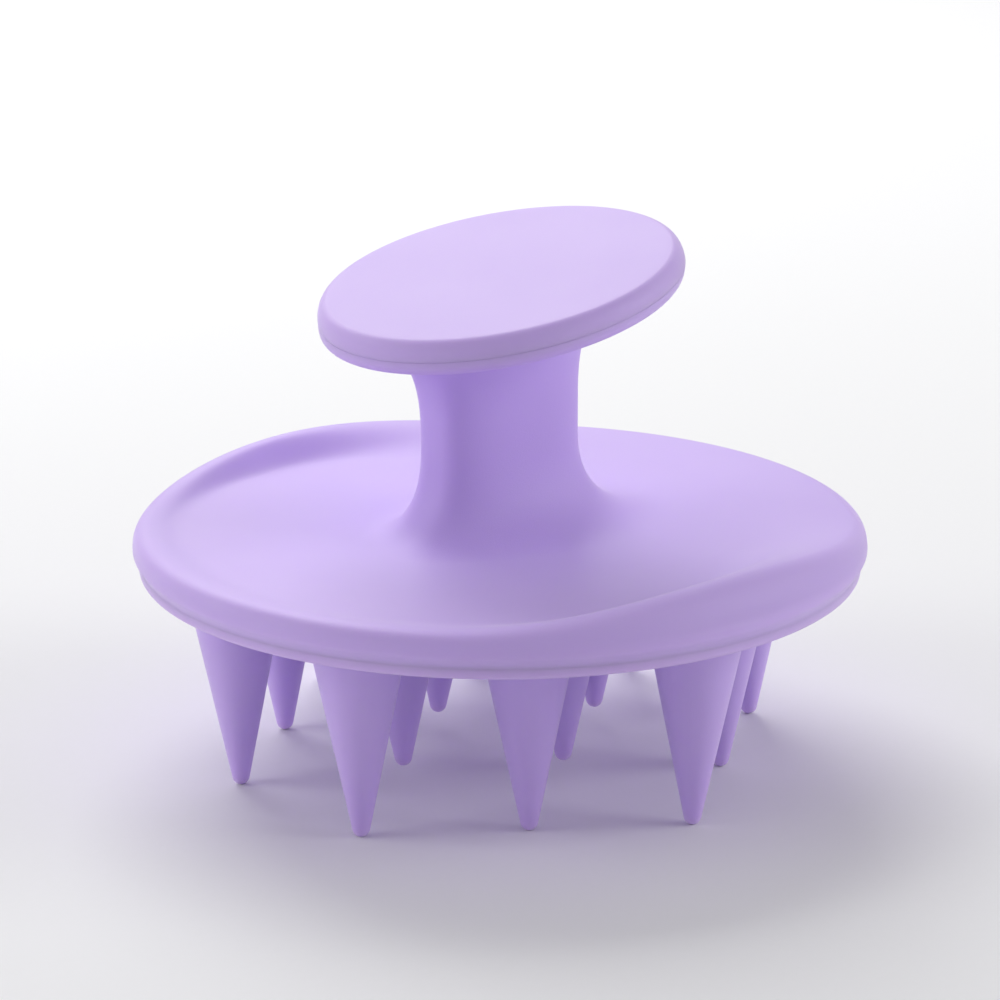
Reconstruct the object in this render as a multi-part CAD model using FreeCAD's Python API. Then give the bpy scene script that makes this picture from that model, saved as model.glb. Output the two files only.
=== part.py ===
import FreeCAD, Part
import math
import os

# Scalp massager brush: an oval knob on a short stem, a round disc with two finger
# lips, and a soft pad of teeth under the disc.
# Frame: +Z up, origin on the axis of the disc at the level of the longest tooth tips,
# +X towards the high side of the tilted knob. The brush is the same on both sides of
# the XZ plane. Sizes are in millimetres, angles in degrees.

# Disc and rim
DISC_DIAMETER = 85.0
RIM_HEIGHT = 5.0            # pad flange and rim together, at the low sides
RIM_EDGE_INSET = 2.0        # from the disc's widest line in to the top edge
RIM_FOOT_INSET = 0.7        # the same at the bottom of the rim
RIM_WIDEST_HEIGHT = 2.7     # height of the widest line above the pad's underside
DISH_DEPTH = 0.3            # the disc's top face lies this far below the rim's edge
DISH_SLOPE_WIDTH = 4.2      # plan width of the slope from the edge down to that face
DISH_SLOPE_EXTRA = 6.5      # the slope is this much wider under the knob's high side
SLOPE_WIDE_ANGLE = 62.0     # degrees from +X; the slope is widest within this angle
SLOPE_NARROW_ANGLE = 100.0  # degrees from +X; it is narrowest beyond this one

# Finger lips, one on each side, at +Y and -Y
LIP_RISE = 2.4              # crest above the rim's edge, at the middle of the lip
LIP_INSET = 2.5             # crest moved in from the rim's edge, at the middle
LIP_HALF_ANGLE = 53.0       # the lip fades out this far from its middle
SCOOP_DEPTH = 1.6           # how far the finger scoop pulls the outline in, below the crest

# Stem
STEM_LENGTH = 20.4          # along X
STEM_WIDTH = 10.0           # along Y
STEM_SQUARENESS = 3.0       # exponent of the superellipse section
STEM_WALL = 2.2
FOOT_FILLET_HEIGHT = 10.0
FOOT_FILLET_WIDTH = 8.0
FOOT_FILLET_EXTRA = 3.5     # the foot spreads this much more under the knob's high side
NECK_FILLET_HEIGHT = 12.5
NECK_FILLET_MARGIN = 0.6    # from the fillet's outer end to the knob's rounded edge

# Knob
KNOB_LENGTH = 44.0          # in its own tilted plane, towards the high side
KNOB_WIDTH = 40.0
KNOB_TILT = 10.6
KNOB_SHIFT = 0.3            # middle of the knob from the axis, towards its high side
KNOB_CAP_THICKNESS = 2.4    # above the joint line
KNOB_BASE_THICKNESS = 1.7   # below the joint line
CAP_EDGE_ROUND = 1.4
BASE_EDGE_ROUND = 2.0        # plan width of the rounding under the knob
KNOB_TOP_HEIGHT = 34.8      # middle of the top face above the pad's underside
CAP_PLUG_DEPTH = 8.0        # plug of the cap, below the joint line at the middle

# Core: stiff plate and hub inside the handle
CORE_PLATE_THICKNESS = 1.5
RIM_WALL = 5.0              # from the disc's widest line in to the plate's recess
CORE_HUB_WALL = 1.2
HUB_PLUG_GAP = 0.6          # between the hub's top and the cap's plug
FIT_CLEARANCE = 0.1         # each side, hub and plug in the stem, plate in its recess

# Pad and teeth
PAD_FLANGE = 1.2
PAD_EDGE_INSET = 0.7        # pad edge inside the disc's widest line
PAD_EDGE_ROUND = 0.4
TOOTH_LENGTH = 23.1         # outer teeth
INNER_TOOTH_SHORTER = 1.5
TOOTH_BASE_DIAMETER = 11.0
TOOTH_TIP_RADIUS = 1.0
TOOTH_EDGE_MARGIN = 3.6     # from the widest outer teeth to the pad's edge
END_ROW_INSET = 0.5         # end rows stand this much nearer to the axis
ANCHOR_DIAMETER = 4.0       # silicone anchors that fill the plate's holes

STATIONS = 36               # section planes round the axis

# Sizes that follow
disc_radius = DISC_DIAMETER / 2.0
pad_under = TOOTH_LENGTH
pad_top = pad_under + PAD_FLANGE
recess_ceiling = pad_top + CORE_PLATE_THICKNESS
rim_top = pad_under + RIM_HEIGHT
dish_level = rim_top - DISH_DEPTH
knob_top = pad_under + KNOB_TOP_HEIGHT
tilt = math.radians(KNOB_TILT)
joint_level = knob_top - KNOB_CAP_THICKNESS / math.cos(tilt)
recess_radius = disc_radius - RIM_WALL
pad_radius = disc_radius - PAD_EDGE_INSET
tooth_base_radius = TOOTH_BASE_DIAMETER / 2.0


def superellipse_radius(angle, length, width, power):
    """Distance from the axis to a superellipse in the direction of angle."""
    across = abs(2.0 * math.cos(angle) / length) ** power
    along = abs(2.0 * math.sin(angle) / width) ** power
    return (across + along) ** (-1.0 / power)


def stem_radius(angle):
    return superellipse_radius(angle, STEM_LENGTH, STEM_WIDTH, STEM_SQUARENESS)


def bore_radius(angle, clearance=0.0):
    shrink = 2.0 * (STEM_WALL + clearance)
    return superellipse_radius(angle, STEM_LENGTH - shrink, STEM_WIDTH - shrink, STEM_SQUARENESS)


def knob_radius(angle):
    """Distance from the axis to the tilted knob's outline, in plan."""
    half_length = KNOB_LENGTH * math.cos(tilt) / 2.0
    half_width = KNOB_WIDTH / 2.0
    cosine = math.cos(angle) / half_length
    sine = math.sin(angle) / half_width
    shift = KNOB_SHIFT / half_length
    square = cosine ** 2 + sine ** 2
    return (cosine * shift + math.sqrt((cosine * shift) ** 2 + square * (1.0 - shift ** 2))) / square


def joint_height(radius, angle):
    """Height of the tilted joint plane between the knob's base and its cap."""
    return joint_level + radius * math.cos(angle) * math.tan(tilt)


def lip_share(angle):
    """1 at the middle of a finger lip, 0 where the rim is plain."""
    off_middle = abs(abs(math.degrees(math.atan2(math.sin(angle), math.cos(angle)))) - 90.0)
    if off_middle >= LIP_HALF_ANGLE:
        return 0.0
    return math.cos(0.5 * math.pi * off_middle / LIP_HALF_ANGLE) ** 2


def blend(start, end, share):
    return start + (end - start) * share


def slope_width(angle):
    """Plan width of the slope between the disc's edge and its top face."""
    turned = abs(math.degrees(math.atan2(math.sin(angle), math.cos(angle))))
    share = (SLOPE_NARROW_ANGLE - turned) / (SLOPE_NARROW_ANGLE - SLOPE_WIDE_ANGLE)
    share = min(max(share, 0.0), 1.0)
    return DISH_SLOPE_WIDTH + DISH_SLOPE_EXTRA * share * share * (3.0 - 2.0 * share)


def body_runs(angle):
    """Outline of the handle body in the half-plane at angle, as runs of (radius, height).

    Each run holds the poles of one spline of the outline, and starts where the one
    before it ends.
    """
    bore = bore_radius(angle)
    stem = stem_radius(angle)
    knob = knob_radius(angle)
    base_thickness = KNOB_BASE_THICKNESS / math.cos(tilt)

    def underside(radius):
        return joint_height(radius, angle) - base_thickness

    knob_flat = knob - BASE_EDGE_ROUND
    neck = knob_flat - NECK_FILLET_MARGIN
    foot = stem + FOOT_FILLET_WIDTH + FOOT_FILLET_EXTRA * (1.0 + math.cos(angle)) / 2.0
    lip = lip_share(angle)
    crest_radius = disc_radius - RIM_EDGE_INSET - LIP_INSET * lip
    crest_height = rim_top + LIP_RISE * lip
    slope_foot = crest_radius - slope_width(angle)
    widest_height = pad_under + RIM_WIDEST_HEIGHT
    edge_drop = crest_height - widest_height
    edge_reach = disc_radius - crest_radius
    scoop = SCOOP_DEPTH * lip
    foot_radius = disc_radius - RIM_FOOT_INSET
    return [
        [(bore, recess_ceiling), (bore, joint_height(bore, angle))],
        [(bore, joint_height(bore, angle)), (knob, joint_height(knob, angle))],
        [(knob, joint_height(knob, angle)), (knob, underside(knob)),
         (knob_flat, underside(knob_flat))],
        [(knob_flat, underside(knob_flat)), (neck, underside(neck))],
        [(neck, underside(neck)), (stem, underside(stem)),
         (stem, underside(stem) - NECK_FILLET_HEIGHT)],
        [(stem, underside(stem) - NECK_FILLET_HEIGHT), (stem, dish_level + FOOT_FILLET_HEIGHT)],
        [(stem, dish_level + FOOT_FILLET_HEIGHT), (stem, dish_level),
         (foot, dish_level)],
        [(foot, dish_level), (slope_foot, dish_level)],
        [(slope_foot, dish_level),
         (blend(slope_foot, crest_radius, 0.5), dish_level),
         (blend(slope_foot, crest_radius, 0.6), crest_height),
         (crest_radius, crest_height)],
        [(crest_radius, crest_height),
         (crest_radius + 0.45 * edge_reach, crest_height),
         (crest_radius + 0.75 * edge_reach, crest_height - blend(0.13, 0.34, lip) * edge_drop),
         (crest_radius + 0.93 * edge_reach - scoop,
          crest_height - blend(0.35, 0.75, lip) * edge_drop),
         (disc_radius, crest_height - 0.63 * edge_drop),
         (disc_radius, widest_height)],
        [(disc_radius, widest_height), (disc_radius, blend(widest_height, pad_top, 0.6)),
         (foot_radius, pad_top)],
        [(foot_radius, pad_top), (recess_radius, pad_top)],
        [(recess_radius, pad_top), (recess_radius, recess_ceiling)],
        [(recess_radius, recess_ceiling), (bore, recess_ceiling)],
    ]


def ring_curve(points):
    """Smooth closed spline through one point per station."""
    curve = Part.BSplineCurve()
    steps = [float(number) for number in range(len(points) + 1)]
    curve.interpolate(Points=points, PeriodicFlag=True, Parameters=steps)
    return curve


def spline_knots(pole_count):
    """Degree, knots and multiplicities of a clamped spline with that many poles."""
    degree = min(3, pole_count - 1)
    spans = pole_count - degree
    knots = [float(number) for number in range(spans + 1)]
    inner = [1] * (spans - 1)
    return degree, knots, [degree + 1] + inner + [degree + 1]


def ring_solid(runs_at):
    """Solid whose outline at each angle is the closed loop of runs that runs_at gives."""
    angles = [2.0 * math.pi * number / STATIONS for number in range(STATIONS)]
    sections = [runs_at(angle) for angle in angles]
    faces = []
    for run_number, run in enumerate(sections[0]):
        rows = []
        for pole_number in range(len(run)):
            ring = []
            for angle, section in zip(angles, sections):
                radius, height = section[run_number][pole_number]
                ring.append(FreeCAD.Vector(radius * math.cos(angle), radius * math.sin(angle), height))
            curve = ring_curve(ring)
            rows.append(curve.getPoles())
        degree, knots, multiplicities = spline_knots(len(run))
        surface = Part.BSplineSurface()
        surface.buildFromPolesMultsKnots(
            rows, multiplicities, curve.getMultiplicities(), knots, curve.getKnots(),
            False, True, degree, curve.Degree)
        faces.append(surface.toShape())
    shell = Part.Shell(faces)
    shell.sewShape()
    solid = Part.Solid(Part.Shell(shell.Faces))
    if solid.Volume < 0.0:
        solid.reverse()
    return solid


def outline_prism(radius_at, low, high):
    """Upright prism between two heights, whose plan outline is radius_at(angle)."""
    points = []
    for number in range(STATIONS):
        angle = 2.0 * math.pi * number / STATIONS
        radius = radius_at(angle)
        points.append(FreeCAD.Vector(radius * math.cos(angle), radius * math.sin(angle), low))
    face = Part.Face(Part.Wire([ring_curve(points).toShape()]))
    return face.extrude(FreeCAD.Vector(0.0, 0.0, high - low))


def make_handle_body():
    """Knob base, hollow stem and disc, moulded in one piece."""
    return ring_solid(body_runs)


def make_knob_cap():
    """Oval cover on the joint plane, with a plug that fits the hollow stem."""
    ellipse = Part.Ellipse(FreeCAD.Vector(0.0, 0.0, 0.0), KNOB_LENGTH / 2.0, KNOB_WIDTH / 2.0)
    cover = Part.Face(Part.Wire([ellipse.toShape()])).extrude(
        FreeCAD.Vector(0.0, 0.0, KNOB_CAP_THICKNESS))
    top_edge = [edge for edge in cover.Edges
                if edge.BoundBox.ZMin > KNOB_CAP_THICKNESS / 2.0]
    cover = cover.makeFillet(min(CAP_EDGE_ROUND, 0.9 * KNOB_CAP_THICKNESS), top_edge)
    cover.rotate(FreeCAD.Vector(0.0, 0.0, 0.0), FreeCAD.Vector(0.0, 1.0, 0.0), -KNOB_TILT)
    cover.translate(FreeCAD.Vector(KNOB_SHIFT, 0.0, joint_height(KNOB_SHIFT, 0.0)))

    def plug_radius(angle):
        return bore_radius(angle, FIT_CLEARANCE)

    plug = outline_prism(plug_radius, joint_level - CAP_PLUG_DEPTH, joint_level + STEM_LENGTH)
    above = Part.makeBox(2.0 * KNOB_LENGTH, 2.0 * KNOB_LENGTH, 2.0 * KNOB_LENGTH,
                         FreeCAD.Vector(-KNOB_LENGTH, -KNOB_LENGTH, KNOB_CAP_THICKNESS / 2.0))
    above.rotate(FreeCAD.Vector(0.0, 0.0, 0.0), FreeCAD.Vector(0.0, 1.0, 0.0), -KNOB_TILT)
    above.translate(FreeCAD.Vector(0.0, 0.0, joint_level))
    return cover.fuse(plug.cut(above)).removeSplitter()


def tooth_places():
    """Plan places of the teeth: rows of 2, 3, 4, 3 and 2 across X, with the inner four apart."""
    outer_radius = pad_radius - TOOTH_EDGE_MARGIN - tooth_base_radius
    pitch_y = outer_radius / 1.5
    end_radius = outer_radius - END_ROW_INSET
    pitch_x = math.sqrt(end_radius ** 2 - (pitch_y / 2.0) ** 2) / 2.0
    outer = []
    inner = []
    for row, count in zip(range(-2, 3), (2, 3, 4, 3, 2)):
        for number in range(count):
            step = number - (count - 1) / 2.0
            place = FreeCAD.Vector(row * pitch_x, step * pitch_y, 0.0)
            near_axis = place.Length < 0.6 * outer_radius
            (inner if near_axis else outer).append(place)
    return outer, inner


def make_tooth(length):
    """Tapered tooth with a round tip, hanging from the pad's underside on the Z axis."""
    lean = math.atan((tooth_base_radius - TOOTH_TIP_RADIUS) / (length - TOOTH_TIP_RADIUS))
    tip_centre = pad_under - length + TOOTH_TIP_RADIUS
    touch_radius = TOOTH_TIP_RADIUS * math.cos(lean)
    touch_height = tip_centre - TOOTH_TIP_RADIUS * math.sin(lean)
    half_turn = (math.pi / 2.0 + lean) / 2.0
    middle = FreeCAD.Vector(TOOTH_TIP_RADIUS * math.cos(half_turn), 0.0,
                            tip_centre - TOOTH_TIP_RADIUS * math.sin(half_turn))
    tip = FreeCAD.Vector(0.0, 0.0, tip_centre - TOOTH_TIP_RADIUS)
    touch = FreeCAD.Vector(touch_radius, 0.0, touch_height)
    rim = FreeCAD.Vector(tooth_base_radius, 0.0, pad_under)
    centre = FreeCAD.Vector(0.0, 0.0, pad_under)
    outline = Part.Wire([
        Part.Arc(tip, middle, touch).toShape(),
        Part.LineSegment(touch, rim).toShape(),
        Part.LineSegment(rim, centre).toShape(),
        Part.LineSegment(centre, tip).toShape(),
    ])
    return Part.Face(outline).revolve(FreeCAD.Vector(0.0, 0.0, 0.0), FreeCAD.Vector(0.0, 0.0, 1.0), 360.0)


def make_teeth(places, length):
    tooth = make_tooth(length)
    return Part.makeCompound([tooth.translated(place) for place in places])


def make_anchors(places):
    """Short round anchors that stand on the pad and fill the core plate's holes."""
    return [Part.makeCylinder(ANCHOR_DIAMETER / 2.0, CORE_PLATE_THICKNESS,
                              place + FreeCAD.Vector(0.0, 0.0, pad_top)) for place in places]


def make_tooth_pad(places):
    """Round pad with a thin flange that closes the underside of the disc."""
    pad = Part.makeCylinder(pad_radius, PAD_FLANGE, FreeCAD.Vector(0.0, 0.0, pad_under))
    low_edge = [edge for edge in pad.Edges
                if edge.BoundBox.ZMax < pad_under + PAD_FLANGE / 2.0]
    pad = pad.makeFillet(PAD_EDGE_ROUND, low_edge)
    return pad.fuse(make_anchors(places)).removeSplitter()


def make_handle_core(places):
    """Stiff plate in the disc's recess, with a hollow hub up the stem."""
    plate = Part.makeCylinder(recess_radius - FIT_CLEARANCE, CORE_PLATE_THICKNESS,
                              FreeCAD.Vector(0.0, 0.0, pad_top))

    def hub_outside(angle):
        return bore_radius(angle, FIT_CLEARANCE)

    def hub_inside(angle):
        return bore_radius(angle, FIT_CLEARANCE + CORE_HUB_WALL)

    hub_top = joint_level - CAP_PLUG_DEPTH - HUB_PLUG_GAP
    hub = outline_prism(hub_outside, pad_top, hub_top)
    hollow = outline_prism(hub_inside, recess_ceiling, hub_top)
    core = plate.fuse(hub).cut(hollow)
    return core.cut(Part.makeCompound(make_anchors(places))).removeSplitter()


def write_step(shape, node):
    shape.exportStep(os.path.join("parts", node + ".step"))


os.makedirs("parts", exist_ok=True)
outer_places, inner_places = tooth_places()
write_step(make_handle_body(), "handle_body")
write_step(make_knob_cap(), "knob_cap")
write_step(make_handle_core(outer_places + inner_places), "handle_core")
write_step(make_tooth_pad(outer_places + inner_places), "tooth_pad")
write_step(make_teeth(outer_places, TOOTH_LENGTH), "outer_teeth")
write_step(make_teeth(inner_places, TOOTH_LENGTH - INNER_TOOTH_SHORTER), "inner_teeth")
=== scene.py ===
import math

import bmesh
import bpy
from mathutils import Euler, Matrix, Vector


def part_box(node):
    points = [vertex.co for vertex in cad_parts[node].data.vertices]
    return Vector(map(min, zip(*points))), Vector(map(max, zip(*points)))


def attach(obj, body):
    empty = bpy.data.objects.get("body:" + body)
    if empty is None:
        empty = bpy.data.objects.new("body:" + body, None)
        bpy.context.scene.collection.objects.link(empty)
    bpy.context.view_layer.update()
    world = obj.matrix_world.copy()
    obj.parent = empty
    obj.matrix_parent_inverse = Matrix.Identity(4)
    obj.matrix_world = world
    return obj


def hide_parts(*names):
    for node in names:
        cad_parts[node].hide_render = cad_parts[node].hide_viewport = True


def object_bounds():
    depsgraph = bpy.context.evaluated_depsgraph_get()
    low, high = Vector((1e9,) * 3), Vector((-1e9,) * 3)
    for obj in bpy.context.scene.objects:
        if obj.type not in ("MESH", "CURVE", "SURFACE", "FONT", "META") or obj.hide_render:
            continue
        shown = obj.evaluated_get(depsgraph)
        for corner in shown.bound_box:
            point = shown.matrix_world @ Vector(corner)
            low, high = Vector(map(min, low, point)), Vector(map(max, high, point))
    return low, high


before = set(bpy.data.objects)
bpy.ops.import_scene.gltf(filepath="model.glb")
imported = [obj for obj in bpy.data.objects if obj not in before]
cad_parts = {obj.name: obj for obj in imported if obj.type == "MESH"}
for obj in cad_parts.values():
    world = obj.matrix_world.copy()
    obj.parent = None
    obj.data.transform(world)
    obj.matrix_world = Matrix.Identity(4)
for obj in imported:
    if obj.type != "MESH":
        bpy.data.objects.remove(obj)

bl_info = {
    "name": "Scalp Massager Brush",
    "version": (1, 0, 0),
    "blender": (4, 5, 0),
    "location": "3D View > Sidebar > Brush",
    "description": "Builds a silicone scalp massager brush round its design frame",
    "category": "Add Mesh",
}

BODY = "root"
CAD_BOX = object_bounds()
HANDLE_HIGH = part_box("handle_body")[1]
PAD_LOW, PAD_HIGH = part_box("tooth_pad")
TEETH_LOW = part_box("outer_teeth")[0]
INNER_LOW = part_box("inner_teeth")[0]
PLATE_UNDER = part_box("handle_core")[0].z
PLATE_TOP = PAD_HIGH.z

HIDDEN_OVERLAP = 0.0002
PLUG_CLEARANCE = 0.0001
MERGE_DISTANCE = 1e-7
SHARP_ANGLE = math.radians(38.0)
FULL_TURN = 2.0 * math.pi

# Where the poles of an outline's curves stand, as shares of the curve's own width or height.
# A pair is for the plain rim and for the middle of a finger lip.
KNOB_SIDE_POLE = 0.15
KNOB_UNDER_POLE = 0.3
SLOPE_LOW_POLE = 0.5
SLOPE_HIGH_POLE = 0.6
CREST_REACH = 0.45
SHOULDER_REACH = 0.75
SHOULDER_DROP = (0.13, 0.34)
SCOOP_REACH = 0.93
SCOOP_DROP = (0.35, 0.75)
SIDE_DROP = 0.63
RIM_SIDE_POLE = 0.35
RIM_FOOT_POLE = 0.6
CAP_FLAT_POLE = 0.55
CAP_ROUND_POLE = 0.55
CAP_ROUND_DROP = 0.05
CAP_SIDE_POLE = 0.42
PLUG_SHARE_OF_NECK = 0.5
PAD_ROUND_SHARE = 0.4

# Shape of a tooth: rows crowd towards the tip, and the fillet curves out at the root
ROW_CROWDING = 1.7
FILLET_CURVE = 2.4
LAST_ROW_FROM = 0.999
ANY_TURN = 6.28
INNER_RING_LIMIT = 0.6
ANCHOR_SIDES = 32

# Stage, in metres, lights as seen from the camera: right, away and up
FLOOR_HALF = 2.0
LIGHTS_AIM = (0.0, 0.0, 0.04)
KEY_PLACE, KEY_SIZE = (-0.20, 0.58, 0.60), 0.6
LEFT_PLACE, LEFT_STRENGTH = (-0.85, -0.12, 0.35), 2.0
RIGHT_PLACE, RIGHT_STRENGTH = (0.85, -0.05, 0.35), 2.3
FILL_SIZE = 0.5


# Properties a user would change

def length(name, description, default):
    return bpy.props.FloatProperty(
        name=name, description=description, default=default, min=0.0,
        precision=5, subtype="DISTANCE", unit="LENGTH")


def turn(name, description, degrees):
    return bpy.props.FloatProperty(
        name=name, description=description, default=math.radians(degrees),
        subtype="ANGLE", unit="ROTATION")


def share(name, description, default):
    return bpy.props.FloatProperty(
        name=name, description=description, default=default, min=0.0, max=1.0,
        subtype="FACTOR")


def amount(name, description, default):
    return bpy.props.FloatProperty(name=name, description=description, default=default, min=0.0)


def whole(name, description, default):
    return bpy.props.IntProperty(name=name, description=description, default=default, min=3)


def colour(name, description, default):
    return bpy.props.FloatVectorProperty(
        name=name, description=description, default=default, size=4, min=0.0, max=1.0,
        subtype="COLOR")


class BrushDiscSizes(bpy.types.PropertyGroup):
    radius: length("Radius", "Widest radius of the disc", HANDLE_HIGH.y)
    rim_height: length("Rim height", "Rim and pad edge together, at the low sides", 0.005)
    edge_inset: length("Edge inset", "From the widest line in to the top edge", 0.002)
    foot_inset: length("Foot inset", "From the widest line in to the bottom of the rim", 0.0007)
    widest_height: length("Widest line", "Height of the widest line above the pad", 0.0027)
    dish_depth: length("Dish depth", "Top face below the rim's edge", 0.0003)
    slope_width: length("Slope width", "Width of the slope from the edge to the top face", 0.0042)
    slope_extra: length("Slope extra", "Wider by this under the knob's high side", 0.0065)
    slope_wide: turn("Slope widest", "Widest within this angle of the high side", 62.0)
    slope_narrow: turn("Slope narrowest", "Narrowest beyond this angle of the high side", 100.0)
    lip_rise: length("Lip rise", "Lip crest above the rim's edge", 0.0024)
    lip_inset: length("Lip inset", "Lip crest moved in from the rim's edge", 0.0025)
    lip_half_angle: turn("Lip half angle", "Where the finger lip has faded out", 53.0)
    scoop_depth: length("Scoop depth", "Pull of the finger scoop below the lip's crest", 0.0016)
    rim_wall: length("Rim wall", "From the widest line in to the plate's recess", 0.005)
    around: whole("Steps around", "Mesh columns around the axis", 288)


class BrushGripSizes(bpy.types.PropertyGroup):
    stem_length: length("Stem length", "Stem section along X", 0.0204)
    stem_width: length("Stem width", "Stem section along Y", 0.010)
    squareness: amount("Stem squareness", "Exponent of the stem's superellipse", 3.0)
    stem_wall: length("Stem wall", "Wall of the hollow stem", 0.0022)
    foot_height: length("Foot fillet height", "Fillet from stem to disc", 0.010)
    foot_width: length("Foot fillet width", "Fillet from stem to disc, in plan", 0.008)
    foot_extra: length("Foot fillet extra", "Wider by this under the knob's high side", 0.0035)
    neck_height: length("Neck fillet height", "Fillet from stem to knob", 0.0125)
    neck_margin: length("Neck fillet margin", "Fillet end to the knob's rounded edge", 0.0006)
    knob_length: length("Knob length", "In its own plane, towards the high side", 0.044)
    knob_width: length("Knob width", "Across the brush", 0.040)
    knob_tilt: turn("Knob tilt", "Slope of the knob's top", 10.6)
    knob_shift: length("Knob shift", "Knob's middle from the axis", 0.0003)
    knob_top: length("Knob top", "Middle of the top face above the pad", 0.0348)
    cap_thickness: length("Cap thickness", "Above the joint line", 0.0024)
    base_thickness: length("Base thickness", "Below the joint line", 0.0017)
    cap_round: length("Cap edge", "Rounding of the cap's top edge", 0.0014)
    base_round: length("Base edge", "Rounding under the knob, in plan", 0.002)
    joint_bevel: length(
        "Joint bevel", "Small bevel on both sides of the knob's joint line", 0.00004)
    crown: length("Crown", "Rounded drop of the cap's top face", 0.0001)


class BrushToothSizes(bpy.types.PropertyGroup):
    root_radius: length("Root radius", "Tooth radius at the pad", 0.0055)
    tip_radius: length("Tip radius", "Round tip of a tooth", 0.001)
    root_fillet: length("Root fillet", "Height of the fillet at the pad", 0.0016)
    root_spread: length("Root spread", "How far the fillet spreads", 0.0009)
    edge_margin: length("Edge margin", "Outer teeth to the pad's edge", 0.0036)
    end_row_inset: length("End row inset", "End rows nearer to the axis", 0.0005)
    anchor_radius: length(
        "Anchor radius", "Short anchor over each tooth, in the core's plate", 0.002)
    lean: turn("Lean", "Largest random turn of a tooth about X and about Y", 0.5)
    around: whole("Steps around", "Mesh columns around a tooth", 56)
    along: whole("Steps along", "Mesh rows along a tooth", 44)


class BrushFinish(bpy.types.PropertyGroup):
    lilac: colour("Lilac", "Colour of the handle and pad", (0.61, 0.45, 0.89, 1.0))
    deep: colour("Deep lilac", "Slightly deeper tone of the same plastic", (0.588, 0.43, 0.88, 1.0))
    core: colour("Core", "Colour of the hidden core", (0.72, 0.71, 0.74, 1.0))
    roughness: share("Roughness", "Matte finish of the skin", 0.52)
    grain: length("Grain", "Size of the fine matte grain", 0.00012)
    translucency: share("Translucency", "How much light passes under the skin", 0.35)
    scatter: length("Scatter", "How far light travels under the skin", 0.0022)


class BrushStage(bpy.types.PropertyGroup):
    azimuth: turn("View azimuth", "Direction of the camera round the brush", -41.45)
    elevation: turn("View elevation", "Height angle of the camera", 16.85)
    distance: length("Distance", "From the aim point to the camera", 0.4479)
    aim: length("Aim height", "Height that the camera looks at", 0.03045)
    lens: amount("Lens", "Focal length in millimetres on a 36 mm sensor", 139.3)
    floor_colour: colour("Floor", "Colour of the pale floor", (0.88, 0.88, 0.89, 1.0))
    key: amount("Key light", "Power of the large light above and behind, in watts", 4.75)
    fill: amount("Fill light", "Power of each side light, in watts", 1.15)
    sky: amount("Surround", "Strength of the white surround", 0.375)


# Arithmetic on node sockets

class Value:
    """An output socket whose arithmetic adds Math nodes to its tree."""

    def __init__(self, maker, socket):
        self.maker = maker
        self.socket = socket

    def _join(self, operation, left, right):
        return self.maker.node("ShaderNodeMath", {"operation": operation}, {0: left, 1: right})

    def __add__(self, other):
        return self._join("ADD", self, other)

    def __radd__(self, other):
        return self._join("ADD", other, self)

    def __sub__(self, other):
        return self._join("SUBTRACT", self, other)

    def __rsub__(self, other):
        return self._join("SUBTRACT", other, self)

    def __mul__(self, other):
        return self._join("MULTIPLY", self, other)

    def __truediv__(self, other):
        return self._join("DIVIDE", self, other)

    def __pow__(self, other):
        return self._join("POWER", self, other)

    def __gt__(self, other):
        return self._join("GREATER_THAN", self, other)


class Maker:
    """Adds nodes to one shader or geometry tree."""

    def __init__(self, tree):
        self.tree = tree

    def node(self, kind, settings=None, inputs=None, output=0):
        """Adds a node: its settings first, then its inputs by name or number."""
        node = self.tree.nodes.new(kind)
        for name, setting in (settings or {}).items():
            setattr(node, name, setting)
        for name, value in (inputs or {}).items():
            socket = node.inputs[name]
            if isinstance(value, Value):
                self.tree.links.new(value.socket, socket)
            else:
                socket.default_value = value
        return Value(self, node.outputs[output] if node.outputs else None)

    def math(self, operation, *values):
        return self.node("ShaderNodeMath", {"operation": operation}, dict(enumerate(values)))

    def between(self, low, high, share_value):
        """Plain blend of two numbers or sockets."""
        return low + (high - low) * share_value

    def vector(self, across, along, up):
        return self.node("ShaderNodeCombineXYZ", None, {0: across, 1: along, 2: up})

    def parts(self, vector):
        """The three numbers of a vector."""
        split = self.node("ShaderNodeSeparateXYZ", None, {0: vector}).socket.node
        return [Value(self, output) for output in split.outputs]

    def colours(self, share_value, first, second):
        """Blend of two colours."""
        return self.node(
            "ShaderNodeMix", {"data_type": "RGBA"}, {0: share_value, 6: first, 7: second}, 2)


# Materials

def new_material(name):
    material = bpy.data.materials.new(name)
    material.use_nodes = True
    material.node_tree.nodes.clear()
    return material, Maker(material.node_tree)


def finish_material(maker, shader):
    maker.node("ShaderNodeOutputMaterial", None, {"Surface": shader})


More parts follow.
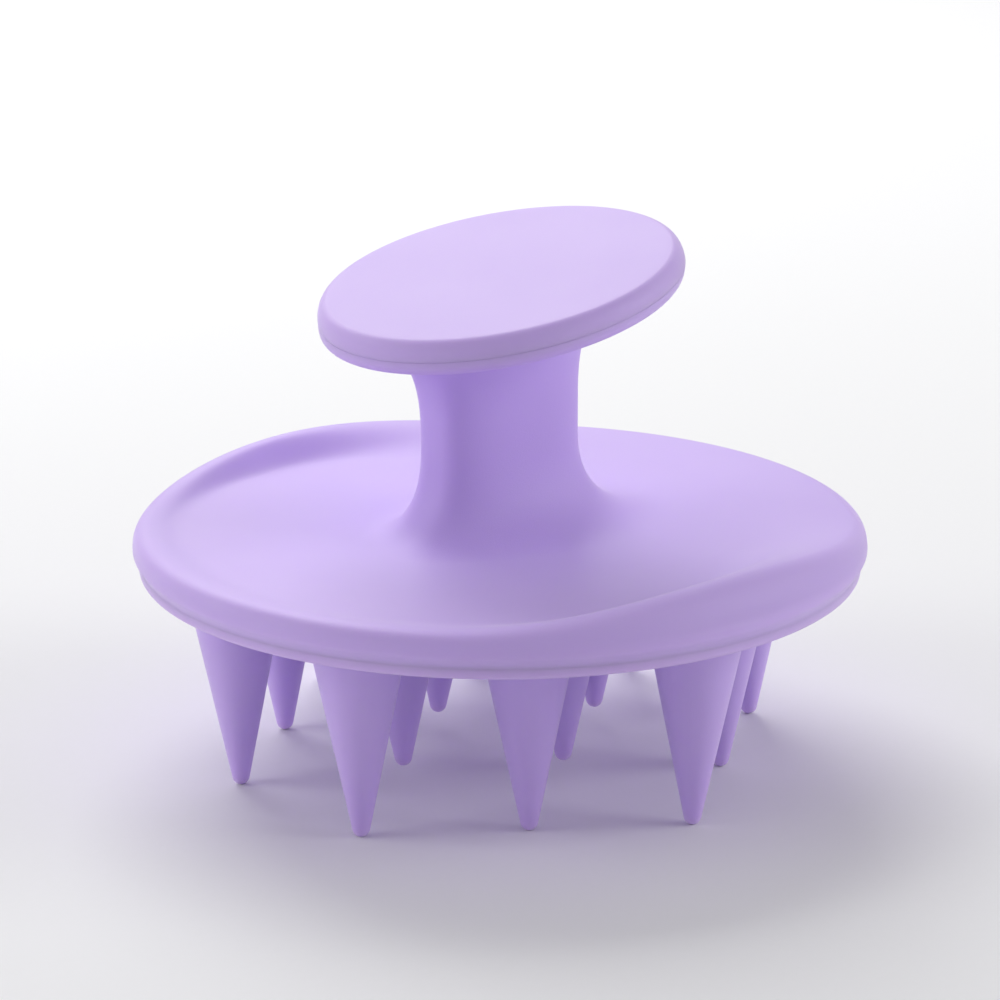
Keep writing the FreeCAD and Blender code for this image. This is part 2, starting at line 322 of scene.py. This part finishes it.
def lilac_skin(name, finish, translucency, grain_height):
    """Matte lilac moulding: soft cloudy tone, fine grain and faint flow marks."""
    material, maker = new_material(name)
    place = maker.node("ShaderNodeTexCoord", None, None, 3)
    cloud = maker.node("ShaderNodeTexNoise", None, {
        "Vector": place, "Scale": 60.0, "Detail": 3.0, "Roughness": 0.55})
    grain = maker.node("ShaderNodeTexNoise", None, {
        "Vector": place, "Scale": 1.0 / finish.grain, "Detail": 2.0, "Roughness": 0.6})
    flow = maker.node("ShaderNodeTexNoise", None, {
        "Vector": place, "Scale": 220.0, "Detail": 2.0, "Distortion": 0.6})
    tone = maker.colours(cloud, tuple(finish.lilac), tuple(finish.deep))
    roughness = finish.roughness + (cloud - 0.5) * 0.10 + (grain - 0.5) * 0.08
    height = grain * grain_height + flow * (0.35 * grain_height)
    bump = maker.node("ShaderNodeBump", None, {
        "Strength": 0.35, "Distance": 0.00006, "Height": height})
    shader = maker.node("ShaderNodeBsdfPrincipled", None, {
        "Base Color": tone,
        "Roughness": roughness,
        "Normal": bump,
        "IOR": 1.42,
        "Subsurface Weight": translucency,
        "Subsurface Radius": (1.0, 0.72, 1.0),
        "Subsurface Scale": finish.scatter,
        "Sheen Weight": 0.24,
        "Sheen Roughness": 0.45,
    })
    finish_material(maker, shader)
    return material


def core_plastic(name, finish):
    """Uncoloured stiff plastic with a satin moulded face."""
    material, maker = new_material(name)
    place = maker.node("ShaderNodeTexCoord", None, None, 3)
    cloud = maker.node("ShaderNodeTexNoise", None, {"Vector": place, "Scale": 90.0, "Detail": 3.0})
    grain = maker.node("ShaderNodeTexNoise", None, {"Vector": place, "Scale": 5000.0})
    paler = tuple(min(1.0, part * 1.08) for part in finish.core[:3]) + (1.0,)
    tone = maker.colours(cloud, tuple(finish.core), paler)
    bump = maker.node("ShaderNodeBump", None, {
        "Strength": 0.3, "Distance": 0.00004, "Height": grain})
    shader = maker.node("ShaderNodeBsdfPrincipled", None, {
        "Base Color": tone, "Roughness": 0.35 + cloud * 0.12, "Normal": bump})
    finish_material(maker, shader)
    return material


def floor_paper(name, stage):
    """Plain pale paper floor."""
    material, maker = new_material(name)
    place = maker.node("ShaderNodeTexCoord", None, None, 3)
    fibre = maker.node("ShaderNodeTexNoise", None, {"Vector": place, "Scale": 900.0, "Detail": 4.0})
    shade = tuple(0.985 * part for part in stage.floor_colour[:3]) + (1.0,)
    tone = maker.colours(fibre, tuple(stage.floor_colour), shade)
    shader = maker.node("ShaderNodeBsdfPrincipled", None, {
        "Base Color": tone, "Roughness": 0.9, "Specular IOR Level": 0.2})
    finish_material(maker, shader)
    return material


SKINS = {
    "handle": ("Lilac soft-touch handle", 1.0, 1.0),
    "pad": ("Lilac silicone pad", 1.3, 0.7),
}


def skin_material(kind, finish):
    """The handle's or the pad's material, made once."""
    name, more_translucent, grain_height = SKINS[kind]
    if name in bpy.data.materials:
        return bpy.data.materials[name]
    return lilac_skin(name, finish, min(1.0, more_translucent * finish.translucency), grain_height)


# Outlines

def bezier(poles, share_value):
    """Point of a Bezier curve."""
    points = [Vector(pole) for pole in poles]
    while len(points) > 1:
        points = [low.lerp(high, share_value) for low, high in zip(points, points[1:])]
    return points[0]


def sampled(runs):
    """Points along runs of (poles, steps), each run starting where the last one ended."""
    points = []
    for poles, steps in runs:
        points += [bezier(poles, number / steps) for number in range(steps)]
    return points


def superellipse_radius(angle, size_x, size_y, power):
    across = abs(2.0 * math.cos(angle) / size_x) ** power
    along = abs(2.0 * math.sin(angle) / size_y) ** power
    return (across + along) ** (-1.0 / power)


def knob_radius(angle, grip):
    """Distance from the axis to the tilted knob's outline, in plan."""
    half_length = grip.knob_length * math.cos(grip.knob_tilt) / 2.0
    cosine = math.cos(angle) / half_length
    sine = math.sin(angle) / (grip.knob_width / 2.0)
    shift = grip.knob_shift / half_length
    square = cosine ** 2 + sine ** 2
    root = math.sqrt((cosine * shift) ** 2 + square * (1.0 - shift ** 2))
    return (cosine * shift + root) / square


def lip_share(angle, disc):
    """1 at the middle of a finger lip, 0 where the rim is plain."""
    turned = abs(math.atan2(math.sin(angle), math.cos(angle)))
    off_middle = abs(turned - math.pi / 2.0)
    if off_middle >= disc.lip_half_angle:
        return 0.0
    return math.cos(0.5 * math.pi * off_middle / disc.lip_half_angle) ** 2


def mix(low, high, share_value):
    return low + (high - low) * share_value


def slope_width(angle, disc):
    """Width of the slope between the disc's edge and its top face, at an angle."""
    turned = abs(math.atan2(math.sin(angle), math.cos(angle)))
    step = (disc.slope_narrow - turned) / (disc.slope_narrow - disc.slope_wide)
    step = min(max(step, 0.0), 1.0)
    return disc.slope_width + disc.slope_extra * step * step * (3.0 - 2.0 * step)


def joint_level(grip):
    """Height of the knob's joint plane on the axis."""
    return PAD_LOW.z + grip.knob_top - grip.cap_thickness / math.cos(grip.knob_tilt)


def handle_outline(angle, disc, grip):
    """Closed outline of the handle body at an angle, as points (radius, height)."""
    tangent = math.cos(angle) * math.tan(grip.knob_tilt)
    level = joint_level(grip)
    thickness = grip.base_thickness / math.cos(grip.knob_tilt)

    def joint(radius):
        return level + radius * tangent

    def under(radius):
        return level + radius * tangent - thickness

    stem = superellipse_radius(angle, grip.stem_length, grip.stem_width, grip.squareness)
    wall = 2.0 * grip.stem_wall
    bore = superellipse_radius(
        angle, grip.stem_length - wall, grip.stem_width - wall, grip.squareness)
    knob = knob_radius(angle, grip)
    knob_flat = knob - grip.base_round
    neck = knob_flat - grip.neck_margin
    spread = stem + grip.foot_width + grip.foot_extra * (1.0 + math.cos(angle)) / 2.0
    bevel = grip.joint_bevel
    rim_top = PAD_LOW.z + disc.rim_height
    dish = rim_top - disc.dish_depth
    ceiling = PLATE_TOP
    lip = lip_share(angle, disc)
    crest = disc.radius - disc.edge_inset - disc.lip_inset * lip
    crest_height = rim_top + disc.lip_rise * lip
    slope_foot = crest - slope_width(angle, disc)
    widest = PAD_LOW.z + disc.widest_height
    drop = crest_height - widest
    reach = disc.radius - crest
    scoop = disc.scoop_depth * lip
    foot = disc.radius - disc.foot_inset
    seat = PLATE_UNDER
    recess = disc.radius - disc.rim_wall
    runs = [
        ([(bore, ceiling), (bore, joint(bore))], 4),
        ([(bore, joint(bore)), (knob - bevel, joint(knob - bevel))], 6),
        ([(knob - bevel, joint(knob - bevel)), (knob, joint(knob) - bevel)], 1),
        ([(knob, joint(knob) - bevel), (knob, under(knob) + KNOB_SIDE_POLE * thickness),
          (knob - KNOB_UNDER_POLE * grip.base_round, under(knob)),
          (knob_flat, under(knob_flat))], 12),
        ([(knob_flat, under(knob_flat)), (neck, under(neck))], 1),
        ([(neck, under(neck)), (stem, under(stem)), (stem, under(stem) - grip.neck_height)], 24),
        ([(stem, under(stem) - grip.neck_height), (stem, dish + grip.foot_height)], 3),
        ([(stem, dish + grip.foot_height), (stem, dish), (spread, dish)], 22),
        ([(spread, dish), (slope_foot, dish)], 12),
        ([(slope_foot, dish), (mix(slope_foot, crest, SLOPE_LOW_POLE), dish),
          (mix(slope_foot, crest, SLOPE_HIGH_POLE), crest_height), (crest, crest_height)], 14),
        ([(crest, crest_height), (crest + CREST_REACH * reach, crest_height),
          (crest + SHOULDER_REACH * reach, crest_height - mix(*SHOULDER_DROP, lip) * drop),
          (crest + SCOOP_REACH * reach - scoop, crest_height - mix(*SCOOP_DROP, lip) * drop),
          (disc.radius, crest_height - SIDE_DROP * drop), (disc.radius, widest)], 26),
        ([(disc.radius, widest), (disc.radius, mix(widest, seat, RIM_SIDE_POLE)),
          (foot, mix(widest, seat, RIM_FOOT_POLE)), (foot, seat)], 10),
        ([(foot, seat), (recess, seat)], 2),
        ([(recess, seat), (recess, ceiling)], 1),
        ([(recess, ceiling), (bore, ceiling)], 6),
    ]
    return sampled(runs)


# Meshes

def finish_piece(piece, material, nodes):
    """Gives a finished mesh its material, edges, body, CAD nodes and slot."""
    mesh = piece.data
    mesh.materials.clear()
    mesh.materials.append(material)
    mesh.shade_smooth()
    mesh.set_sharp_from_angle(angle=SHARP_ANGLE)
    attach(piece, BODY)
    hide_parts(*nodes)
    return piece


def new_object(name, mesh):
    piece = bpy.data.objects.new(name, mesh)
    bpy.context.scene.collection.objects.link(piece)
    return piece


def outward(mesh):
    """Closes doubled points and turns every face outward."""
    work = bmesh.new()
    work.from_mesh(mesh)
    bmesh.ops.remove_doubles(work, verts=work.verts, dist=MERGE_DISTANCE)
    bmesh.ops.recalc_face_normals(work, faces=work.faces)
    work.to_mesh(mesh)
    work.free()
    return mesh


def ring_mesh(name, outline_at, around):
    """Closed ring whose section at each angle is the loop that outline_at gives."""
    points = []
    for column in range(around):
        angle = FULL_TURN * column / around
        for radius, height in outline_at(angle):
            points.append((radius * math.cos(angle), radius * math.sin(angle), height))
    rows = len(points) // around
    faces = []
    for column in range(around):
        here = column * rows
        there = ((column + 1) % around) * rows
        for row in range(rows):
            after = (row + 1) % rows
            faces.append((here + row, there + row, there + after, here + after))
    mesh = bpy.data.meshes.new(name)
    mesh.from_pydata(points, [], faces)
    return outward(mesh)


def profile_object(name, points):
    """Helper object that carries an outline's points (radius, height) in order."""
    mesh = bpy.data.meshes.new(name)
    mesh.from_pydata([(radius, 0.0, height) for radius, height in points], [], [])
    return new_object(name, mesh)


# Geometry Nodes trees

def node_group(name, inputs):
    """New geometry tree with named inputs given as (name, socket type, default)."""
    tree = bpy.data.node_groups.new(name, "GeometryNodeTree")
    tree.interface.new_socket("Geometry", in_out="INPUT", socket_type="NodeSocketGeometry")
    tree.interface.new_socket("Geometry", in_out="OUTPUT", socket_type="NodeSocketGeometry")
    for label, kind, default in inputs:
        socket = tree.interface.new_socket(label, in_out="INPUT", socket_type=kind)
        if default is not None:
            socket.default_value = default
    maker = Maker(tree)
    entry = tree.nodes.new("NodeGroupInput")
    given = {output.name: Value(maker, output) for output in entry.outputs if output.name}
    return tree, maker, given


def close_group(maker, geometry, material):
    """Ends a tree in Realize Instances and Set Material."""
    solid = maker.node("GeometryNodeRealizeInstances", None, {"Geometry": geometry})
    dressed = maker.node(
        "GeometryNodeSetMaterial", None, {"Geometry": solid, "Material": material})
    way_out = maker.tree.nodes.new("NodeGroupOutput")
    maker.tree.links.new(dressed.socket, way_out.inputs[0])


def polar_grid(maker, around, along):
    """Flat grid with its column (0 to around) and row (0 to along) as numbers."""
    grid = maker.node("GeometryNodeMeshGrid", None, {
        "Size X": around, "Size Y": along,
        "Vertices X": around + 1.0, "Vertices Y": along + 1.0})
    flat = maker.parts(maker.node("GeometryNodeInputPosition"))
    column = maker.math("ROUND", flat[0] + around / 2.0)
    row = maker.math("ROUND", flat[1] + along / 2.0)
    return grid, column, row


def turned_tree():
    """Turns an outline about the axis on an oval plan, then tilts and lifts it."""
    tree, maker, given = node_group("Turned outline", [
        ("Outline", "NodeSocketObject", None),
        ("Around", "NodeSocketInt", 256),
        ("Last point", "NodeSocketInt", 10),
        ("Plan X", "NodeSocketFloat", 1.0),
        ("Plan Y", "NodeSocketFloat", 1.0),
        ("Tilt", "NodeSocketFloat", 0.0),
        ("Shift", "NodeSocketFloat", 0.0),
        ("Lift", "NodeSocketFloat", 0.0),
        ("Material", "NodeSocketMaterial", None),
    ])
    outline = maker.node("GeometryNodeObjectInfo", None, {"Object": given["Outline"]}, "Geometry")
    grid, column, row = polar_grid(maker, given["Around"], given["Last point"])
    point = maker.node(
        "GeometryNodeSampleIndex", {"data_type": "FLOAT_VECTOR", "domain": "POINT"},
        {"Geometry": outline, "Value": maker.node("GeometryNodeInputPosition"), "Index": row})
    radius, _, height = maker.parts(point)
    angle = column * FULL_TURN / given["Around"]
    place = maker.vector(
        radius * given["Plan X"] * maker.math("COSINE", angle),
        radius * given["Plan Y"] * maker.math("SINE", angle),
        height)
    shaped = maker.node("GeometryNodeSetPosition", None, {"Geometry": grid, "Position": place})
    tilt = maker.vector(0.0, 0.0 - given["Tilt"], 0.0)
    lifted = maker.node("GeometryNodeTransform", None, {
        "Geometry": shaped,
        "Translation": maker.vector(given["Shift"], 0.0, given["Lift"]),
        "Rotation": tilt})
    closed = maker.node("GeometryNodeMergeByDistance", None, {
        "Geometry": lifted, "Distance": MERGE_DISTANCE})
    close_group(maker, closed, given["Material"])
    return tree


def tooth_tree():
    """Stands one tapered, round-tipped tooth on every point of the host mesh."""
    tree, maker, given = node_group("Teeth on points", [
        ("Length", "NodeSocketFloat", 0.0231),
        ("Root radius", "NodeSocketFloat", 0.0055),
        ("Tip radius", "NodeSocketFloat", 0.001),
        ("Fillet height", "NodeSocketFloat", 0.0016),
        ("Fillet spread", "NodeSocketFloat", 0.0009),
        ("Sink", "NodeSocketFloat", 0.0002),
        ("Lean", "NodeSocketFloat", 0.01),
        ("Seed", "NodeSocketInt", 7),
        ("Around", "NodeSocketInt", 56),
        ("Along", "NodeSocketInt", 44),
        ("Material", "NodeSocketMaterial", None),
    ])
    size = given["Length"]
    tip = given["Tip radius"]
    grid, column, row = polar_grid(maker, given["Around"], given["Along"])
    last = given["Along"] - 1.0
    step = maker.math("MINIMUM", row / last, 1.0)
    rise = size * step ** ROW_CROWDING
    lean = maker.math("ARCTANGENT", (given["Root radius"] - tip) / (size - tip))
    touch = tip * (1.0 - maker.math("SINE", lean))
    cone = tip * maker.math("COSINE", lean) + (rise - touch) * maker.math("TANGENT", lean)
    ball = maker.math("SQRT", maker.math("MAXIMUM", tip * tip - (tip - rise) * (tip - rise), 0.0))
    on_cone = rise > touch
    near_root = maker.math("MAXIMUM", 1.0 - (size - rise) / given["Fillet height"], 0.0)
    side = maker.between(ball, cone, on_cone) + given["Fillet spread"] * near_root ** FILLET_CURVE
    is_lid = row > last + 0.5
    radius = side * (1.0 - is_lid)
    angle = column * FULL_TURN / given["Around"]
    place = maker.vector(
        radius * maker.math("COSINE", angle),
        radius * maker.math("SINE", angle),
        rise - size + given["Sink"] * (step > LAST_ROW_FROM))
    shaped = maker.node("GeometryNodeSetPosition", None, {"Geometry": grid, "Position": place})
    closed = maker.node("GeometryNodeMergeByDistance", None, {
        "Geometry": shaped, "Distance": MERGE_DISTANCE})
    slant = maker.node(
        "FunctionNodeRandomValue", {"data_type": "FLOAT_VECTOR"},
        {0: maker.vector(0.0 - given["Lean"], 0.0 - given["Lean"], 0.0),
         1: maker.vector(given["Lean"], given["Lean"], ANY_TURN),
         "Seed": given["Seed"]})
    stood = maker.node("GeometryNodeInstanceOnPoints", None, {
        "Points": given["Geometry"], "Instance": closed, "Rotation": slant})
    close_group(maker, stood, given["Material"])
    return tree


def bake(name, host, tree, values):
    """Runs a tree on a host object and returns its result as a plain object."""
    modifier = host.modifiers.new("Shape", "NODES")
    modifier.node_group = tree
    identifiers = {item.name: item.identifier for item in tree.interface.items_tree
                   if item.in_out == "INPUT"}
    for label, value in values.items():
        modifier[identifiers[label]] = value
    bpy.context.view_layer.update()
    graph = bpy.context.evaluated_depsgraph_get()
    mesh = bpy.data.meshes.new_from_object(host.evaluated_get(graph))
    mesh.name = name
    host.modifiers.remove(modifier)
    bpy.data.objects.remove(host)
    return new_object(name, outward(mesh))


# Operators

class BRUSH_OT_handle(bpy.types.Operator):
    """Build the handle: the knob's base, the stem and the disc with its finger lips"""
    bl_idname = "brush.handle"
    bl_label = "Handle"

    def execute(self, context):
        disc = context.scene.brush_disc
        grip = context.scene.brush_grip

        def outline_at(angle):
            return handle_outline(angle, disc, grip)

        material = skin_material("handle", context.scene.brush_finish)
        piece = new_object("handle_shell", ring_mesh("handle_shell", outline_at, disc.around))
        finish_piece(piece, material, ["handle_body"])
        return {"FINISHED"}


class BRUSH_OT_cap(bpy.types.Operator):
    """Build the oval cap of the knob with its plug"""
    bl_idname = "brush.cap"
    bl_label = "Knob cap"

    def execute(self, context):
        disc = context.scene.brush_disc
        grip = context.scene.brush_grip
        outer = grip.knob_length / 2.0
        bevel = grip.joint_bevel
        top = grip.cap_thickness
        edge_start = outer - grip.cap_round
        plug = min(grip.stem_width, grip.stem_length) / 2.0 - grip.stem_wall - PLUG_CLEARANCE
        depth = -PLUG_SHARE_OF_NECK * grip.neck_height
        edge_top = top - grip.crown
        outline = sampled([
            ([(0.0, top), (CAP_FLAT_POLE * outer, top), (edge_start, edge_top)], 24),
            ([(edge_start, edge_top),
              (mix(edge_start, outer, CAP_ROUND_POLE), edge_top - CAP_ROUND_DROP * grip.cap_round),
              (outer, mix(edge_top, 0.0, CAP_SIDE_POLE)), (outer, bevel)], 18),
            ([(outer, bevel), (outer - bevel, 0.0)], 1),
            ([(outer - bevel, 0.0), (plug, 0.0)], 8),
            ([(plug, 0.0), (plug, depth)], 3),
            ([(plug, depth), (0.0, depth)], 3),
        ]) + [Vector((0.0, depth))]
        material = skin_material("handle", context.scene.brush_finish)
        helper = profile_object("cap_outline", outline)
        host = new_object("cap_host", bpy.data.meshes.new("cap_host"))
        piece = bake("knob_cover", host, turned_tree(), {
            "Outline": helper,
            "Around": disc.around,
            "Last point": len(outline) - 1,
            "Plan X": 1.0,
            "Plan Y": grip.knob_width / grip.knob_length,
            "Tilt": grip.knob_tilt,
            "Shift": grip.knob_shift,
            "Lift": joint_level(grip) + grip.knob_shift * math.tan(grip.knob_tilt),
            "Material": material,
        })
        bpy.data.objects.remove(helper)
        finish_piece(piece, material, ["knob_cap"])
        return {"FINISHED"}


class BRUSH_OT_pad(bpy.types.Operator):
    """Build the round silicone pad whose thin edge shows under the rim"""
    bl_idname = "brush.pad"
    bl_label = "Silicone pad"

    def execute(self, context):
        disc = context.scene.brush_disc
        outer = PAD_HIGH.x
        seat = PLATE_UNDER
        low = PAD_LOW.z
        round_edge = PAD_ROUND_SHARE * (seat - low)
        outline = sampled([
            ([(0.0, seat), (outer, seat)], 10),
            ([(outer, seat), (outer, low + round_edge)], 2),
            ([(outer, low + round_edge), (outer, low), (outer - round_edge, low)], 6),
            ([(outer - round_edge, low), (0.0, low)], 24),
        ]) + [Vector((0.0, low))]
        material = skin_material("pad", context.scene.brush_finish)
        helper = profile_object("pad_outline", outline)
        host = new_object("pad_host", bpy.data.meshes.new("pad_host"))
        piece = bake("pad_skin", host, turned_tree(), {
            "Outline": helper,
            "Around": disc.around,
            "Last point": len(outline) - 1,
            "Material": material,
        })
        bpy.data.objects.remove(helper)
        add_anchors(piece.data, context.scene.brush_tooth)
        finish_piece(piece, material, ["tooth_pad"])
        return {"FINISHED"}


def tooth_places(tooth):
    """Plan places of the outer and inner teeth: rows of 2, 3, 4, 3 and 2 across X."""
    outer_radius = PAD_HIGH.x - tooth.edge_margin - tooth.root_radius
    pitch_y = outer_radius / 1.5
    end_radius = outer_radius - tooth.end_row_inset
    pitch_x = math.sqrt(end_radius ** 2 - (pitch_y / 2.0) ** 2) / 2.0
    outer = []
    inner = []
    for row, count in zip(range(-2, 3), (2, 3, 4, 3, 2)):
        for number in range(count):
            place = Vector((row * pitch_x, (number - (count - 1) / 2.0) * pitch_y, PAD_LOW.z))
            near_axis = place.xy.length < INNER_RING_LIMIT * outer_radius
            (inner if near_axis else outer).append(place)
    return outer, inner


def add_anchors(mesh, tooth):
    """Adds a short round anchor over every tooth, which grips the core's plate."""
    outer, inner = tooth_places(tooth)
    work = bmesh.new()
    work.from_mesh(mesh)
    middle = (PLATE_UNDER + PLATE_TOP) / 2.0
    for place in outer + inner:
        bmesh.ops.create_cone(
            work, cap_ends=True, segments=ANCHOR_SIDES, depth=PLATE_TOP - PLATE_UNDER,
            radius1=tooth.anchor_radius, radius2=tooth.anchor_radius,
            matrix=Matrix.Translation((place.x, place.y, middle)))
    work.to_mesh(mesh)
    work.free()


class BRUSH_OT_teeth(bpy.types.Operator):
    """Build the outer and inner teeth that hang from the pad"""
    bl_idname = "brush.teeth"
    bl_label = "Teeth"

    def execute(self, context):
        tooth = context.scene.brush_tooth
        material = skin_material("pad", context.scene.brush_finish)
        tree = tooth_tree()
        outer, inner = tooth_places(tooth)
        groups = [
            ("outer_teeth_soft", "outer_teeth", outer, PAD_LOW.z - TEETH_LOW.z, 11),
            ("inner_teeth_soft", "inner_teeth", inner, PAD_LOW.z - INNER_LOW.z, 23),
        ]
        for name, node, places, tooth_length, seed in groups:
            mesh = bpy.data.meshes.new(name + "_roots")
            mesh.from_pydata([tuple(place) for place in places], [], [])
            piece = bake(name, new_object(name + "_roots", mesh), tree, {
                "Length": tooth_length,
                "Root radius": tooth.root_radius,
                "Tip radius": tooth.tip_radius,
                "Fillet height": tooth.root_fillet,
                "Fillet spread": tooth.root_spread,
                "Sink": HIDDEN_OVERLAP,
                "Lean": tooth.lean,
                "Seed": seed,
                "Around": tooth.around,
                "Along": tooth.along,
                "Material": material,
            })
            finish_piece(piece, material, [node])
        return {"FINISHED"}


class BRUSH_OT_core(bpy.types.Operator):
    """Give the hidden core its plastic"""
    bl_idname = "brush.core"
    bl_label = "Core finish"

    def execute(self, context):
        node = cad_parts["handle_core"]
        material = core_plastic("Natural core plastic", context.scene.brush_finish)
        node.data.materials.clear()
        node.data.materials.append(material)
        return {"FINISHED"}


def area_light(name, place, aim, size, power):
    light = bpy.data.lights.new(name, "AREA")
    light.shape = "SQUARE"
    light.size = size
    light.energy = power
    lamp = bpy.data.objects.new(name, light)
    lamp.location = place
    lamp.rotation_euler = (Vector(aim) - Vector(place)).to_track_quat("-Z", "Y").to_euler()
    bpy.context.scene.collection.objects.link(lamp)


class BRUSH_OT_stage(bpy.types.Operator):
    """Build the pale floor, the soft lights and the camera"""
    bl_idname = "brush.stage"
    bl_label = "Stage"

    def execute(self, context):
        stage = context.scene.brush_stage
        self.make_floor(stage)
        self.make_camera(context, stage)
        self.make_lights(context, stage)
        return {"FINISHED"}

    def make_floor(self, stage):
        half = FLOOR_HALF
        level = CAD_BOX[0][2]
        mesh = bpy.data.meshes.new("floor")
        corners = [
            (-half, -half, level), (half, -half, level),
            (half, half, level), (-half, half, level)]
        mesh.from_pydata(corners, [], [(0, 1, 2, 3)])
        mesh.materials.append(floor_paper("Pale floor", stage))
        new_object("floor", mesh)

    def make_camera(self, context, stage):
        aim = Vector((0.0, 0.0, stage.aim))
        back = Vector((
            math.sin(stage.azimuth) * math.cos(stage.elevation),
            -math.cos(stage.azimuth) * math.cos(stage.elevation),
            math.sin(stage.elevation)))
        data = bpy.data.cameras.new("view")
        data.sensor_width = 36.0
        data.lens = stage.lens
        data.clip_start = 0.01
        camera = bpy.data.objects.new("view", data)
        camera.location = aim + back * stage.distance
        camera.rotation_euler = (-back).to_track_quat("-Z", "Y").to_euler()
        context.scene.collection.objects.link(camera)
        context.scene.camera = camera

    def make_lights(self, context, stage):
        turned = Euler((0.0, 0.0, stage.azimuth))
        lights = [
            ("key", KEY_PLACE, KEY_SIZE, stage.key),
            ("left_fill", LEFT_PLACE, FILL_SIZE, LEFT_STRENGTH * stage.fill),
            ("right_fill", RIGHT_PLACE, FILL_SIZE, RIGHT_STRENGTH * stage.fill),
        ]
        for name, place, size, power in lights:
            spot = Vector(place)
            spot.rotate(turned)
            area_light(name, spot, LIGHTS_AIM, size, power)
        world = bpy.data.worlds.new("white surround")
        world.use_nodes = True
        world.node_tree.nodes.clear()
        maker = Maker(world.node_tree)
        light = maker.node("ShaderNodeBackground", None, {
            "Color": (1.0, 1.0, 1.0, 1.0), "Strength": stage.sky})
        maker.node("ShaderNodeOutputWorld", None, {"Surface": light})
        context.scene.world = world
        context.scene.view_settings.view_transform = "Standard"


class BRUSH_PT_panel(bpy.types.Panel):
    """Lists the brush's pieces and sizes"""
    bl_idname = "BRUSH_PT_panel"
    bl_label = "Scalp Massager Brush"
    bl_space_type = "VIEW_3D"
    bl_region_type = "UI"
    bl_category = "Brush"

    def draw(self, context):
        for operator in OPERATORS:
            self.layout.operator(operator.bl_idname)
        for name in GROUPS:
            box = self.layout.box()
            group = getattr(context.scene, name)
            for key in group.__annotations__:
                box.prop(group, key)


GROUPS = {
    "brush_disc": BrushDiscSizes,
    "brush_grip": BrushGripSizes,
    "brush_tooth": BrushToothSizes,
    "brush_finish": BrushFinish,
    "brush_stage": BrushStage,
}
OPERATORS = [
    BRUSH_OT_handle, BRUSH_OT_cap, BRUSH_OT_pad, BRUSH_OT_teeth, BRUSH_OT_core, BRUSH_OT_stage]


def register():
    for name, group in GROUPS.items():
        bpy.utils.register_class(group)
        setattr(bpy.types.Scene, name, bpy.props.PointerProperty(type=group))
    for operator in OPERATORS:
        bpy.utils.register_class(operator)
    bpy.utils.register_class(BRUSH_PT_panel)


def unregister():
    bpy.utils.unregister_class(BRUSH_PT_panel)
    for operator in reversed(OPERATORS):
        bpy.utils.unregister_class(operator)
    for name, group in reversed(GROUPS.items()):
        delattr(bpy.types.Scene, name)
        bpy.utils.unregister_class(group)


def main():
    register()
    bpy.ops.brush.handle()
    bpy.ops.brush.cap()
    bpy.ops.brush.pad()
    bpy.ops.brush.teeth()
    bpy.ops.brush.core()
    bpy.ops.brush.stage()


if __name__ == "__main__":
    main()
